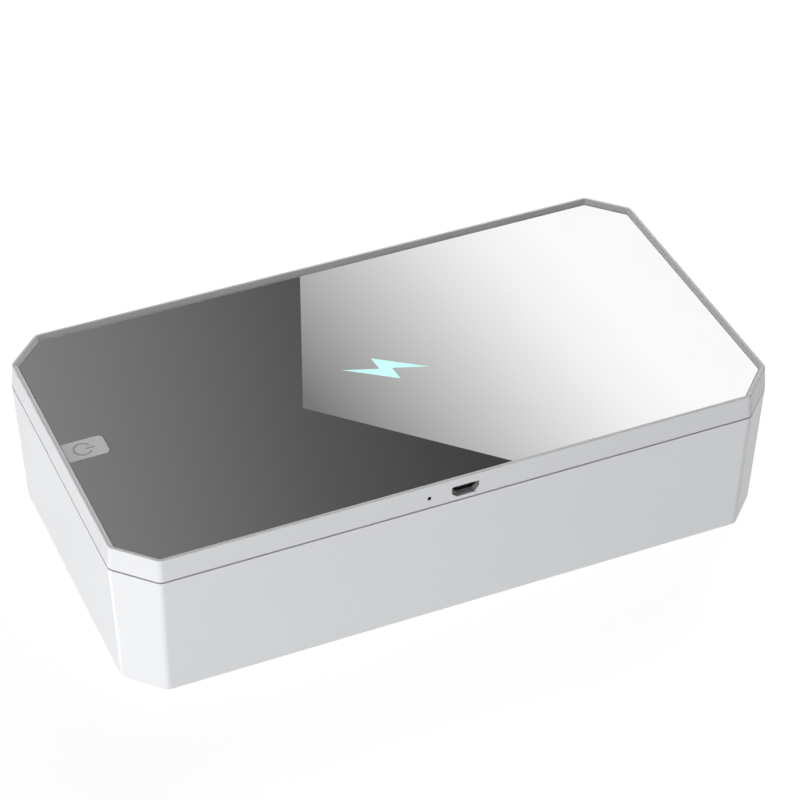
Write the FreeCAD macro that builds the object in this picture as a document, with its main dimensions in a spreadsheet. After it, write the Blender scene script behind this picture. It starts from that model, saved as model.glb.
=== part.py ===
import FreeCAD, Part
import math
import os
import re
import Sketcher

# Driving sizes of the sanitizer box, in millimetres and degrees.
# X runs along the box, the front with the power socket faces -Y and Z points up from the feet.
DIMENSIONS = {
    # Outer form, measured at the seam, where lid and base are widest
    "box_length": 220.0,
    "box_width": 118.5,
    "corner_leg": 12.0,
    "edge_round": 3.0,
    "foot_stand": 0.5,
    "base_height": 45.05,
    "base_lean": 1.7,
    "base_foot_round": 0.3,
    "lid_gap": 0.65,
    "lid_height": 7.8,
    "lid_lean": 0.64,
    "rim_round": 0.3,
    "shell_wall": 2.2,
    "floor_wall": 2.2,
    # Mirror seat in the lid
    "rim_width": 1.92,
    "rim_bevel": 1.0,
    "mirror_drop": 1.3,
    "mirror_thick": 1.4,
    "mirror_gap": 0.15,
    "tape_thick": 0.15,
    "tape_margin": 1.2,
    "deck_thick": 1.1,
    # Bolt window
    "bolt_tip_x": 13.2,
    "bolt_tip_y": 4.6,
    "bolt_notch_x": 1.9,
    "bolt_notch_y": 0.5,
    "bolt_shoulder_x": 2.35,
    "bolt_shoulder_y": 6.5,
    "bolt_shift_x": 0.9,
    "bolt_shift_y": 0.4,
    "guide_length": 34.0,
    "guide_width": 20.0,
    "guide_flange": 0.6,
    "guide_gap": 0.1,
    "lamp_hole": 14.0,
    # Power key
    "key_length": 13.25,
    "key_width": 9.0,
    "key_round": 1.5,
    "key_thick": 0.9,
    "key_gap": 0.2,
    "key_travel": 0.5,
    "stem_side": 5.0,
    "stem_gap": 0.1,
    "hook_reach": 0.6,
    "hook_thick": 0.5,
    "hook_gap": 0.1,
    "symbol_radius": 2.75,
    "symbol_line": 0.7,
    "symbol_depth": 0.15,
    "symbol_open": 28.0,
    "symbol_shift": 1.6,
    "symbol_bar_in": 0.8,
    "symbol_bar_out": 3.9,
    # Rear hinge
    "hinge_inset": 2.0,
    "hinge_end": 48.0,
    "knuckle_radius": 1.8,
    "knuckle_root": 2.4,
    "knuckle_bite": 0.45,
    "base_knuckle": 7.0,
    "lid_knuckle": 9.6,
    "knuckle_side_gap": 0.2,
    "knuckle_gap": 0.3,
    "pin_size": 1.5,
    "pin_hold": 0.02,
    "pin_play": 0.05,
    "base_bevel_angle": 54.0,
    "lid_bevel_angle": 50.0,
    # Chamber tray in the base
    "tray_side_gap": 0.4,
    "channel_gap": 1.2,
    "tray_wall": 1.6,
    "tray_lean": 1.9,
    "tray_lift": 7.5,
    "tray_floor": 1.6,
    "tray_round": 2.0,
    "tray_flange_drop": 2.0,
    "tray_flange": 1.5,
    "tray_flange_gap": 0.3,
    "rib_height": 3.0,
    "rib_width": 1.6,
    "rib_end": 35.0,
    "rib_side": 23.25,
    "seal_thick": 0.5,
    "seal_margin": 0.1,
    # Feet and tray posts
    "foot_end": 22.0,
    "foot_side": 19.25,
    "foot_size": 12.0,
    "foot_recess": 1.0,
    "foot_gap": 0.15,
    "foot_round": 0.3,
    "post_size": 7.0,
    "post_length": 2.5,
    "boss_size": 9.0,
    # Screws
    "screw_size": 2.0,
    "screw_head": 3.8,
    "screw_head_height": 1.2,
    "screw_slot": 0.6,
    "screw_slot_length": 2.4,
    "screw_slot_depth": 0.6,
    "screw_grip": 0.02,
    "screw_pass": 0.2,
    "screw_tip_gap": 0.3,
    "boss_wall": 1.3,
    # Inner cover of the lid
    "cover_gap": 0.15,
    "cover_flange": 1.2,
    "pan_gap": 0.8,
    "pan_wall": 1.5,
    "pan_drop": 4.5,
    "pan_floor": 1.8,
    "cover_screw_end": 18.0,
    "cover_screw_side": 18.25,
    "cover_middle_gap": 18.0,
    "cover_bite": 5.0,
    "cover_notch_gap": 0.6,
    # Main board, coil and socket
    "board_thick": 1.2,
    "board_gap": 0.05,
    "board_width": 64.0,
    "board_front_gap": 0.65,
    "board_lap": 4.0,
    "board_screw_side": 4.0,
    "board_screw_y": 21.0,
    "board_bite": 2.3,
    "coil_gap": 0.15,
    "coil_wire": 1.1,
    "coil_bore": 10.5,
    "coil_pitch": 1.6,
    "coil_turns": 7,
    "ferrite_margin": 7.0,
    "ferrite_thick": 0.8,
    "ferrite_hole": 16.0,
    "bolt_lamp_side": 3.5,
    "bolt_lamp_height": 1.0,
    "chip_large": 7.0,
    "chip_small": 5.0,
    "chip_height": 1.1,
    "chip_spread": 17.0,
    "chip_front": 18.0,
    "usb_width": 8.0,
    "usb_height": 2.5,
    "usb_taper_in": 1.2,
    "usb_taper_rise": 1.1,
    "usb_wall": 0.3,
    "usb_depth": 5.6,
    "usb_recess": 0.85,
    "usb_room": 0.12,
    "usb_flare": 0.5,
    "usb_flare_depth": 0.8,
    "port_gap": 0.15,
    "port_round": 0.6,
    "tongue_width": 3.8,
    "tongue_thick": 0.6,
    "tongue_length": 3.6,
    "tongue_root": 1.0,
    "tongue_root_width": 5.0,
    "tongue_fit": 0.05,
    "tongue_drop": 0.25,
    "contact_width": 0.4,
    "contact_thick": 0.12,
    "contact_length": 2.8,
    "contact_pitch": 0.65,
    "pinhole_x": 12.0,
    "pinhole_size": 1.3,
    "pinhole_rise": 1.4,
    "pipe_gap": 0.05,
    "pipe_recess": 0.4,
    "status_lamp_width": 1.6,
    "status_lamp_depth": 1.2,
    "status_lamp_height": 1.8,
    "hall_side": 8.0,
    "hall_inset": 5.5,
    "hall_length": 3.0,
    "hall_width": 1.6,
    "hall_height": 1.0,
    # Key board and switch
    "key_board_gap": 0.3,
    "key_board_length": 17.2,
    "key_board_width": 18.0,
    "key_board_margin": 0.2,
    "key_screw_inset": 2.9,
    "key_screw_y": 5.0,
    "key_bite": 2.5,
    "switch_side": 6.0,
    "switch_height": 2.6,
    "plunger_size": 3.3,
    "plunger_gap": 0.1,
    "plunger_show": 0.9,
    "plunger_deep": 0.95,
    "lead_size": 1.2,
    "lead_y": 8.1,
    "lead_lap": 6.0,
    # Lamp boards
    "lamp_board_end": 32.0,
    "lamp_board_width": 10.0,
    "lamp_board_side": 26.25,
    "lamp_post": 1.5,
    "lamp_screw_end": 6.0,
    "lamp_bite": 2.2,
    "lamp_end": 18.0,
    "lamp_side": 3.5,
    "lamp_height": 0.9,
    "window_size": 8.0,
    "window_thick": 1.0,
    "window_gap": 0.1,
    "window_ledge": 0.8,
    "link_x": 6.0,
    "link_pin": 0.8,
    # Closing magnets
    "magnet_length": 10.0,
    "magnet_width": 5.0,
    "magnet_thick": 2.0,
    "magnet_end": 50.0,
    "lid_magnet_inset": 3.0,
    "sensor_magnet": 4.0,
}

# Heights of the assembly above the table, each built up from the sizes above.
BASE_RIM = "(foot_stand + base_height)"
LID_EDGE = f"({BASE_RIM} + lid_gap)"
LID_TOP = f"({LID_EDGE} + lid_height)"
MIRROR_TOP = f"({LID_TOP} - mirror_drop)"
MIRROR_UNDER = f"({MIRROR_TOP} - mirror_thick)"
DECK_TOP = f"({MIRROR_UNDER} - tape_thick)"
DECK_UNDER = f"({DECK_TOP} - deck_thick)"
FERRITE_TOP = f"({DECK_UNDER} - coil_gap - coil_wire)"
BOARD_TOP = f"({FERRITE_TOP} - ferrite_thick)"
BOARD_UNDER = f"({BOARD_TOP} - board_thick)"
FLANGE_TOP = f"({BOARD_UNDER} - board_gap)"
FLANGE_UNDER = f"({FLANGE_TOP} - cover_flange)"
PAN_UNDER = f"({FLANGE_UNDER} - pan_drop)"
PAN_FLOOR = f"({PAN_UNDER} + pan_floor)"
LAMP_BOARD_UNDER = f"({PAN_FLOOR} + lamp_post)"
LAMP_BOARD_TOP = f"({LAMP_BOARD_UNDER} + board_thick)"
LIP_TOP = f"({FLANGE_UNDER} - seal_thick)"
TRAY_FLANGE_TOP = f"({LIP_TOP} - tray_flange_drop)"
TRAY_FLANGE_UNDER = f"({TRAY_FLANGE_TOP} - tray_flange)"
TRAY_UNDER = "(foot_stand + tray_lift)"
TRAY_INSIDE = f"({TRAY_UNDER} + tray_floor)"
TRAY_HEIGHT = f"({LIP_TOP} - {TRAY_UNDER})"
POST_END = f"({TRAY_UNDER} - post_length)"
BASE_INSIDE = "(foot_stand + floor_wall)"
TRAY_SCREW_SEAT = "(foot_stand + foot_recess + screw_head_height + screw_pass)"
COVER_SCREW_SEAT = f"({PAN_UNDER} + screw_head_height)"
STEM_END = f"({DECK_UNDER} - hook_gap - hook_thick)"
SWITCH_TOP = f"({STEM_END} - plunger_show)"
KEY_BOARD_TOP = f"({SWITCH_TOP} - switch_height)"
KEY_BOARD_UNDER = f"({KEY_BOARD_TOP} - board_thick)"
PORT_Z = f"({BOARD_TOP} + usb_height / 2)"
PINHOLE_Z = f"({BOARD_TOP} + pinhole_rise)"
HINGE_Z = f"({BASE_RIM} + lid_gap / 2)"

# Places in plan, and distances in from the seam outline.
HINGE_Y = "(box_width / 2 - hinge_inset)"
HINGE_STATION = "(box_length / 2 - hinge_end)"
STATION_HALF = "(lid_knuckle / 2 + knuckle_side_gap + base_knuckle)"
SEAT_INSET = "(lid_lean + rim_width)"
MIRROR_INSET = f"({SEAT_INSET} + mirror_gap)"
COVER_INSET = "(shell_wall + cover_gap)"
LIP_INSET_X = "(shell_wall + tray_side_gap)"
LIP_INSET_Y = "(hinge_inset + knuckle_radius + channel_gap)"
PAN_INSET_X = f"({LIP_INSET_X} + tray_wall + pan_gap)"
PAN_INSET_Y = f"({LIP_INSET_Y} + tray_wall + pan_gap)"
KEY_BOARD_END = f"(box_length / 2 - {PAN_INSET_X} - pan_wall - key_board_gap)"
STEM_X = f"({KEY_BOARD_END} - key_board_margin - switch_side / 2)"
KEY_END = f"(box_length / 2 - {SEAT_INSET} - key_gap)"
KEY_SCREW_X = f"({KEY_BOARD_END} - key_board_length + key_screw_inset)"
BOARD_FRONT = "(box_width / 2 - shell_wall - board_front_gap)"
LAMP_BOARD_LENGTH = "(box_length - 2 * lamp_board_end)"
LAMP_BOARD_Y = "(box_width / 2 - lamp_board_side)"
LAMP_SCREW_X = f"({LAMP_BOARD_LENGTH} / 2 - lamp_screw_end)"
LAMP_PITCH = f"(({LAMP_BOARD_LENGTH} - 2 * lamp_end) / 3)"
BOARD_REAR = f"({LAMP_BOARD_Y} + board_lap)"
FERRITE_SIDE = "(board_width - 2 * ferrite_margin)"
CHIP_Y = "(box_width / 2 - chip_front)"
HALL_X = "(board_width / 2 - hall_side)"
MAGNET_X = "(box_length / 2 - magnet_end)"
RIB_LENGTH = "(box_length - 2 * rib_end)"
RIB_PITCH = "((box_width - 2 * rib_side) / 3)"
USB_FRONT = "(box_width / 2 - usb_recess)"

doc = FreeCAD.newDocument("uv_sanitizer_box")
dims = doc.addObject("Spreadsheet::Sheet", "dims")
for row, (alias, size) in enumerate(DIMENSIONS.items(), start=1):
    dims.set(f"A{row}", alias)
    dims.set(f"B{row}", str(size))
    dims.setAlias(f"B{row}", alias)
doc.recompute()


def formula(text):
    """A formula in which every named size points at its cell in the sheet."""
    return re.sub(r"[a-z]\w*", lambda word: f"dims.{word[0]}" if word[0] in DIMENSIONS else word[0], text)


def number(text):
    """The present value of a formula."""
    return float(dims.evalExpression(formula(text)))


def both_ways(x, y):
    """The four places that mirror one place about both centre lines."""
    return [(across + x, along + y) for across in ("", "-") for along in ("", "-")]


def new_body(label):
    body = doc.addObject("PartDesign::Body", label)
    body.Label = label
    return body


def new_sketch(body, plane, height="0"):
    """A sketch on one of the body's own origin planes, moved along the plane's normal."""
    sketch = body.newObject("Sketcher::SketchObject", f"{body.Label}_sketch")
    support = next(item for item in body.Origin.OriginFeatures if item.Role == plane)
    sketch.AttachmentSupport = [(support, "")]
    sketch.MapMode = "FlatFace"
    sketch.setExpression("AttachmentOffset.Base.z", formula(height))
    return sketch


def limit(sketch, kind, *target, size):
    """A constraint whose size follows a formula."""
    index = sketch.addConstraint(Sketcher.Constraint(kind, *target, number(size)))
    sketch.setExpression(f"Constraints[{index}]", formula(size))


def hold_point(sketch, shape, end, x, y):
    limit(sketch, "DistanceX", -1, 1, shape, end, size=x)
    limit(sketch, "DistanceY", -1, 1, shape, end, size=y)


def outline(sketch, corners):
    """A closed outline of straight lines through corners given by formulas."""
    points = [FreeCAD.Vector(number(x), number(y), 0) for x, y in corners]
    sides = [
        sketch.addGeometry(Part.LineSegment(start, end))
        for start, end in zip(points, points[1:] + points[:1])
    ]
    for side, following in zip(sides, sides[1:] + sides[:1]):
        sketch.addConstraint(Sketcher.Constraint("Coincident", side, 2, following, 1))
    for side, (x, y) in zip(sides, corners):
        hold_point(sketch, side, 1, x, y)


def rectangle(sketch, left, right, low, high):
    outline(sketch, [(left, low), (right, low), (right, high), (left, high)])


def block_at(sketch, x, y, length, width):
    """A rectangle given by its centre and its two sides."""
    rectangle(
        sketch,
        f"{x} - {length} / 2",
        f"{x} + {length} / 2",
        f"{y} - {width} / 2",
        f"{y} + {width} / 2",
    )


def disc(sketch, x, y, diameter):
    centre = FreeCAD.Vector(number(x), number(y), 0)
    circle = Part.Circle(centre, FreeCAD.Vector(0, 0, 1), number(diameter) / 2)
    index = sketch.addGeometry(circle)
    hold_point(sketch, index, 3, x, y)
    limit(sketch, "Diameter", index, size=diameter)


def octagon(inset_x, inset_y):
    """Corners of the box outline, drawn in by the given distances from the seam outline."""
    half_x = f"(box_length / 2 - {inset_x})"
    half_y = f"(box_width / 2 - {inset_y})"
    leg = f"(corner_leg - (1 - sqrt(0.5)) * ({inset_x} + {inset_y}))"
    short_x = f"({half_x} - {leg})"
    short_y = f"({half_y} - {leg})"
    return [
        (half_x, f"-{short_y}"),
        (half_x, short_y),
        (short_x, half_y),
        (f"-{short_x}", half_y),
        (f"-{half_x}", short_y),
        (f"-{half_x}", f"-{short_y}"),
        (f"-{short_x}", f"-{half_y}"),
        (short_x, f"-{half_y}"),
    ]


def bolt_outline():
    """Corners of the charge bolt, which is the same after half a turn and stands a little off the middle."""
    half = [
        ("bolt_tip_x", "-bolt_tip_y"),
        ("bolt_notch_x", "-bolt_notch_y"),
        ("bolt_shoulder_x", "-bolt_shoulder_y"),
    ]
    whole = half + [(f"-({x})", f"-({y})") for x, y in half]
    return [(f"{x} - bolt_shift_x", f"{y} + bolt_shift_y") for x, y in whole]


def usb_outline(grow):
    """Corners of the socket mouth, wide above and narrower below, grown by a margin."""
    top = f"{PORT_Z} + usb_height / 2 + {grow}"
    bottom = f"{PORT_Z} - usb_height / 2 - {grow}"
    turn = f"{PORT_Z} - usb_height / 2 + usb_taper_rise - {grow} / 2"
    wide = f"(usb_width / 2 + {grow})"
    narrow = f"(usb_width / 2 - usb_taper_in + {grow} / 2)"
    return [
        (wide, turn),
        (wide, top),
        (f"-{wide}", top),
        (f"-{wide}", turn),
        (f"-{narrow}", bottom),
        (narrow, bottom),
    ]


def extrude(body, kind, sketch, length, reverse):
    feature = body.newObject(f"PartDesign::{kind}", f"{body.Label}_{kind.lower()}")
    feature.Profile = sketch
    feature.setExpression("Length", formula(length))
    feature.Reversed = reverse
    return feature


def pad(body, sketch, length, reverse=False):
    """Adds a prism, along the sketch normal unless reversed."""
    return extrude(body, "Pad", sketch, length, reverse)


def pocket(body, sketch, length, reverse=False):
    """Cuts a prism, against the sketch normal unless reversed."""
    return extrude(body, "Pocket", sketch, length, reverse)


def funnel(body, kind, start, end):
    """Adds or cuts a straight-sided funnel between two outlines."""
    feature = body.newObject(f"PartDesign::{kind}Loft", f"{body.Label}_{kind.lower()}")
    feature.Profile = start
    feature.Sections = [end]
    feature.Ruled = True


def soften(body, kind, size, chosen):
    """Rounds or bevels the chosen edges of a body."""
    doc.recompute()
    base = body.Tip
    edges = [f"Edge{count}" for count, edge in enumerate(base.Shape.Edges, start=1) if chosen(edge)]
    feature = body.newObject(f"PartDesign::{kind}", f"{body.Label}_{kind.lower()}")
    feature.Base = (base, edges)
    feature.setExpression("Radius" if kind == "Fillet" else "Size", formula(size))


def lean(body, inset, run, neutral, reverse):
    """Leans the upright flat sides about a level face, as moulded walls do."""
    doc.recompute()
    base = body.Tip
    sides = []
    level = None
    for count, face in enumerate(base.Shape.Faces, start=1):
        normal = face.normalAt(0, 0)
        flat = isinstance(face.Surface, Part.Plane)
        if flat and abs(normal.z) < 1e-6:
            sides.append(f"Face{count}")
        elif flat and abs(face.CenterOfMass.z - number(neutral)) < 1e-4:
            level = f"Face{count}"
    feature = body.newObject("PartDesign::Draft", f"{body.Label}_draft")
    feature.Base = (base, sides)
    feature.NeutralPlane = (base, [level])
    feature.setExpression("Angle", f"atan({formula(inset)} / {formula(run)})")
    feature.Reversed = reverse


def upright(edge):
    return abs(edge.tangentAt(edge.FirstParameter).z) > 0.7


def along_y(edge):
    return abs(edge.tangentAt(edge.FirstParameter).y) > 0.99


def at_height(height):
    """Picks the edges that lie at one height."""
    return lambda edge: all(abs(point.Z - number(height)) < 1e-4 for point in edge.Vertexes)


def block(label, x, y, z, length, width, height):
    """A plain box between its lowest corner and its highest."""
    box = doc.addObject("Part::Box", label)
    box.Label = label
    for axis, place in zip("xyz", (x, y, z)):
        box.setExpression(f"Placement.Base.{axis}", formula(place))
    for side, size in zip(("Length", "Width", "Height"), (length, width, height)):
        box.setExpression(side, formula(size))
    return box


def bosses(body, places, start, end, diameter, bore_depth):
    """Round bosses that hang from one height to another, with pilot holes from their lower ends."""
    stand = new_sketch(body, "XY_Plane", end)
    bores = new_sketch(body, "XY_Plane", end)
    for x, y in places:
        disc(stand, x, y, diameter)
        disc(bores, x, y, "(screw_size + 2 * screw_grip)")
    pad(body, stand, f"{start} - {end}")
    pocket(body, bores, bore_depth, reverse=True)


def holes(body, places, height, diameter, depth, reverse=False):
    sketch = new_sketch(body, "XY_Plane", height)
    for x, y in places:
        disc(sketch, x, y, diameter)
    pocket(body, sketch, depth, reverse)


def screws(label, places, seat, reach, head_down=True):
    """A set of equal cross-headed screws whose heads bear on one level."""
    body = new_body(label)
    heads = new_sketch(body, "XY_Plane", seat)
    shanks = new_sketch(body, "XY_Plane", seat)
    face = f"{seat} - screw_head_height" if head_down else f"{seat} + screw_head_height"
    slots = [new_sketch(body, "XY_Plane", face) for _ in range(2)]
    for x, y in places:
        disc(heads, x, y, "screw_head")
        disc(shanks, x, y, "screw_size")
        block_at(slots[0], x, y, "screw_slot_length", "screw_slot")
        block_at(slots[1], x, y, "screw_slot", "screw_slot_length")
    pad(body, heads, "screw_head_height", reverse=head_down)
    pad(body, shanks, reach, reverse=not head_down)
    for slot in slots:
        pocket(body, slot, "screw_slot_depth", reverse=head_down)
    return body


def knuckle(body, left, length, up):
    """One hinge knuckle with its root on the wall, above the axis for the lid, below for the base."""
    side = "" if up else "-"
    sketch = new_sketch(body, "YZ_Plane", left)
    centre = FreeCAD.Vector(number(HINGE_Y), number(HINGE_Z), 0)
    radius = number("knuckle_radius")
    lean_angle = math.acos(number("knuckle_bite / knuckle_radius"))
    circle = Part.Circle(centre, FreeCAD.Vector(0, 0, 1), radius)
    if up:
        barrel = sketch.addGeometry(Part.ArcOfCircle(circle, math.pi, 2 * math.pi + lean_angle))
    else:
        barrel = sketch.addGeometry(Part.ArcOfCircle(circle, -lean_angle, math.pi))
    root = number(f"{HINGE_Z} + {side}knuckle_root")
    inner = FreeCAD.Vector(centre.x - radius, root, 0)
    outer = FreeCAD.Vector(centre.x + number("knuckle_bite"), root, 0)
    barrel_shape = sketch.Geometry[barrel]
    inner_start = barrel_shape.StartPoint if up else barrel_shape.EndPoint
    outer_start = barrel_shape.EndPoint if up else barrel_shape.StartPoint
    inner_side = sketch.addGeometry(Part.LineSegment(inner_start, inner))
    foot = sketch.addGeometry(Part.LineSegment(inner, outer))
    outer_side = sketch.addGeometry(Part.LineSegment(outer, outer_start))
    meetings = [(inner_side, 2, foot, 1), (foot, 2, outer_side, 1)]
    if up:
        meetings += [(barrel, 1, inner_side, 1), (outer_side, 2, barrel, 2)]
    else:
        meetings += [(barrel, 2, inner_side, 1), (outer_side, 2, barrel, 1)]
    for meeting in meetings:
        sketch.addConstraint(Sketcher.Constraint("Coincident", *meeting))
    hold_point(sketch, barrel, 3, HINGE_Y, HINGE_Z)
    limit(sketch, "Radius", barrel, size="knuckle_radius")
    limit(sketch, "DistanceY", -1, 1, inner_side, 1, size=HINGE_Z)
    sketch.addConstraint(Sketcher.Constraint("Vertical", inner_side))
    sketch.addConstraint(Sketcher.Constraint("Vertical", outer_side))
    sketch.addConstraint(Sketcher.Constraint("Horizontal", foot))
    hold_point(sketch, foot, 2, f"{HINGE_Y} + knuckle_bite", f"{HINGE_Z} + {side}knuckle_root")
    pad(body, sketch, length)


def hinge_cut(body, left, length, diameter):
    """Cuts a round space about the hinge axis."""
    sketch = new_sketch(body, "YZ_Plane", left)
    disc(sketch, HINGE_Y, HINGE_Z, diameter)
    pocket(body, sketch, length, reverse=True)


def rear_bevel(body, angle, up):
    """Cuts back the rear edge from the hinge axis outward, so that the lid can lean back."""
    side = "" if up else "-"
    sketch = new_sketch(body, "YZ_Plane", "-box_length / 2")
    reach = f"({HINGE_Y} + 2 * hinge_inset)"
    outline(sketch, [
        (HINGE_Y, HINGE_Z),
        (reach, f"{HINGE_Z} - {side}lid_gap"),
        (reach, f"{HINGE_Z} + {side}2 * hinge_inset * tan({angle})"),
    ])
    pocket(body, sketch, "box_length", reverse=True)


BASE_KNUCKLES = [
    f"{station} + {shift}"
    for station in (f"-{HINGE_STATION}", HINGE_STATION)
    for shift in (f"-{STATION_HALF}", "(lid_knuckle / 2 + knuckle_side_gap)")
]
LID_KNUCKLES = [f"{station} - lid_knuckle / 2" for station in (f"-{HINGE_STATION}", HINGE_STATION)]
FEET = both_ways("(box_length / 2 - foot_end)", "(box_width / 2 - foot_side)")
COVER_CORNERS = both_ways("(box_length / 2 - cover_screw_end)", "(box_width / 2 - cover_screw_side)")
COVER_MIDDLE = "(board_width / 2 + cover_middle_gap)"
COVER_SCREWS = COVER_CORNERS + [(COVER_MIDDLE, "0"), (f"-{COVER_MIDDLE}", "0")]
BOARD_SCREWS = both_ways("(board_width / 2 - board_screw_side)", "board_screw_y")
KEY_SCREWS = [(f"-{KEY_SCREW_X}", "key_screw_y"), (f"-{KEY_SCREW_X}", "-key_screw_y")]
LAMP_SCREWS = both_ways(LAMP_SCREW_X, LAMP_BOARD_Y)
LAMPS = both_ways(f"{LAMP_PITCH} / 2", LAMP_BOARD_Y) + both_ways(f"3 * {LAMP_PITCH} / 2", LAMP_BOARD_Y)
SCREW_PASSAGE = "(screw_size + 2 * screw_pass)"


def base_shell():
    body = new_body("base_shell")
    rim = new_sketch(body, "XY_Plane", BASE_RIM)
    outline(rim, octagon("0", "0"))
    pad(body, rim, "base_height", reverse=True)
    lean(body, "base_lean", "base_height", BASE_RIM, reverse=True)
    soften(body, "Fillet", "edge_round", upright)
    soften(body, "Fillet", "base_foot_round", at_height("foot_stand"))
    inside = new_sketch(body, "XY_Plane", BASE_RIM)
    floor_inset = "(shell_wall + base_lean * (1 - floor_wall / base_height))"
    outline(inside, octagon(floor_inset, floor_inset))
    pocket(body, inside, "base_height - floor_wall")
    lean(body, "base_lean", "base_height", BASE_INSIDE, reverse=False)
    stand = new_sketch(body, "XY_Plane", BASE_INSIDE)
    for x, y in FEET:
        disc(stand, x, y, "boss_size")
    pad(body, stand, f"{POST_END} - {BASE_INSIDE}")
    holes(body, FEET, "foot_stand", "(foot_size + 2 * foot_gap)", "foot_recess", reverse=True)
    holes(body, FEET, "foot_stand", "(screw_head + 2 * screw_pass)", f"{TRAY_SCREW_SEAT} - foot_stand", reverse=True)
    holes(body, FEET, "foot_stand", SCREW_PASSAGE, f"{POST_END} - foot_stand", reverse=True)
    rear_bevel(body, "base_bevel_angle", up=False)
    for left in LID_KNUCKLES:
        hinge_cut(
            body,
            f"{left} - knuckle_side_gap",
            "lid_knuckle + 2 * knuckle_side_gap",
            "2 * (knuckle_radius + knuckle_gap)",
        )
    for left in BASE_KNUCKLES:
        knuckle(body, left, "base_knuckle", up=False)
        hinge_cut(body, left, "base_knuckle", "(pin_size + 2 * pin_hold)")
    return body


def inner_tray():
    body = new_body("inner_tray")
    lip = new_sketch(body, "XY_Plane", LIP_TOP)
    outline(lip, octagon(LIP_INSET_X, LIP_INSET_Y))
    pad(body, lip, TRAY_HEIGHT, reverse=True)
    lean(body, "tray_lean", TRAY_HEIGHT, LIP_TOP, reverse=True)
    inside = new_sketch(body, "XY_Plane", LIP_TOP)
    floor_inset = f"(tray_wall + tray_lean * (1 - tray_floor / {TRAY_HEIGHT}))"
    outline(inside, octagon(f"({LIP_INSET_X} + {floor_inset})", f"({LIP_INSET_Y} + {floor_inset})"))
    pocket(body, inside, f"{LIP_TOP} - {TRAY_INSIDE}")
    lean(body, "tray_lean", TRAY_HEIGHT, TRAY_INSIDE, reverse=False)
    soften(body, "Fillet", "tray_round", at_height(TRAY_INSIDE))
    flange = new_sketch(body, "XY_Plane", TRAY_FLANGE_UNDER)
    outline(flange, octagon("(shell_wall + tray_flange_gap)", "(shell_wall + tray_flange_gap)"))
    outline(flange, octagon(f"({LIP_INSET_X} + tray_wall / 2)", f"({LIP_INSET_Y} + tray_wall / 2)"))
    pad(body, flange, "tray_flange")
    ribs = new_sketch(body, "XY_Plane", TRAY_INSIDE)
    for count in (-3, -1, 1, 3):
        block_at(ribs, "0", f"({count} * {RIB_PITCH} / 2)", RIB_LENGTH, "rib_width")
    pad(body, ribs, "rib_height")
    posts = new_sketch(body, "XY_Plane", POST_END)
    for x, y in FEET:
        disc(posts, x, y, "post_size")
    pad(body, posts, "post_length")
    holes(body, FEET, POST_END, "(screw_size + 2 * screw_grip)", "post_length + tray_floor / 2", reverse=True)
    return body


def rim_seal():
    body = new_body("rim_seal")
    ring = new_sketch(body, "XY_Plane", LIP_TOP)
    outline(ring, octagon(f"({LIP_INSET_X} + seal_margin)", f"({LIP_INSET_Y} + seal_margin)"))
    inner = "tray_wall - seal_margin"
    outline(ring, octagon(f"({LIP_INSET_X} + {inner})", f"({LIP_INSET_Y} + {inner})"))
    pad(body, ring, "seal_thick")
    return body


def base_magnets():
    body = new_body("base_magnets")
    bars = new_sketch(body, "XY_Plane", f"{TRAY_FLANGE_UNDER} - magnet_width")
    front = f"-(box_width / 2 - {LIP_INSET_Y})"
    for x in (f"-{MAGNET_X}", MAGNET_X):
        rectangle(bars, f"{x} - magnet_length / 2", f"{x} + magnet_length / 2", f"{front} - magnet_thick", front)
    pad(body, bars, "magnet_width")
    return body


def interlock_magnet():
    return block(
        "interlock_magnet",
        f"-{HALL_X} - sensor_magnet / 2",
        f"-(box_width / 2 - {LIP_INSET_Y}) - magnet_thick",
        f"{TRAY_FLANGE_UNDER} - sensor_magnet",
        "sensor_magnet",
        "magnet_thick",
        "sensor_magnet",
    )


def tray_screws():
    reach = f"{POST_END} + post_length + tray_floor / 2 - screw_tip_gap - {TRAY_SCREW_SEAT}"
    return screws("tray_screws", FEET, TRAY_SCREW_SEAT, reach)


def rubber_feet():
    body = new_body("rubber_feet")
    soles = new_sketch(body, "XY_Plane", "0")
    for x, y in FEET:
        disc(soles, x, y, "foot_size")
    pad(body, soles, "foot_stand + foot_recess")
    soften(body, "Fillet", "foot_round", at_height("0"))
    return body


def hinge_pin(label, station):
    body = new_body(label)
    end = new_sketch(body, "YZ_Plane", f"{station} - {STATION_HALF}")
    disc(end, HINGE_Y, HINGE_Z, "pin_size")
    pad(body, end, f"2 * {STATION_HALF}")
    return body


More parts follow.
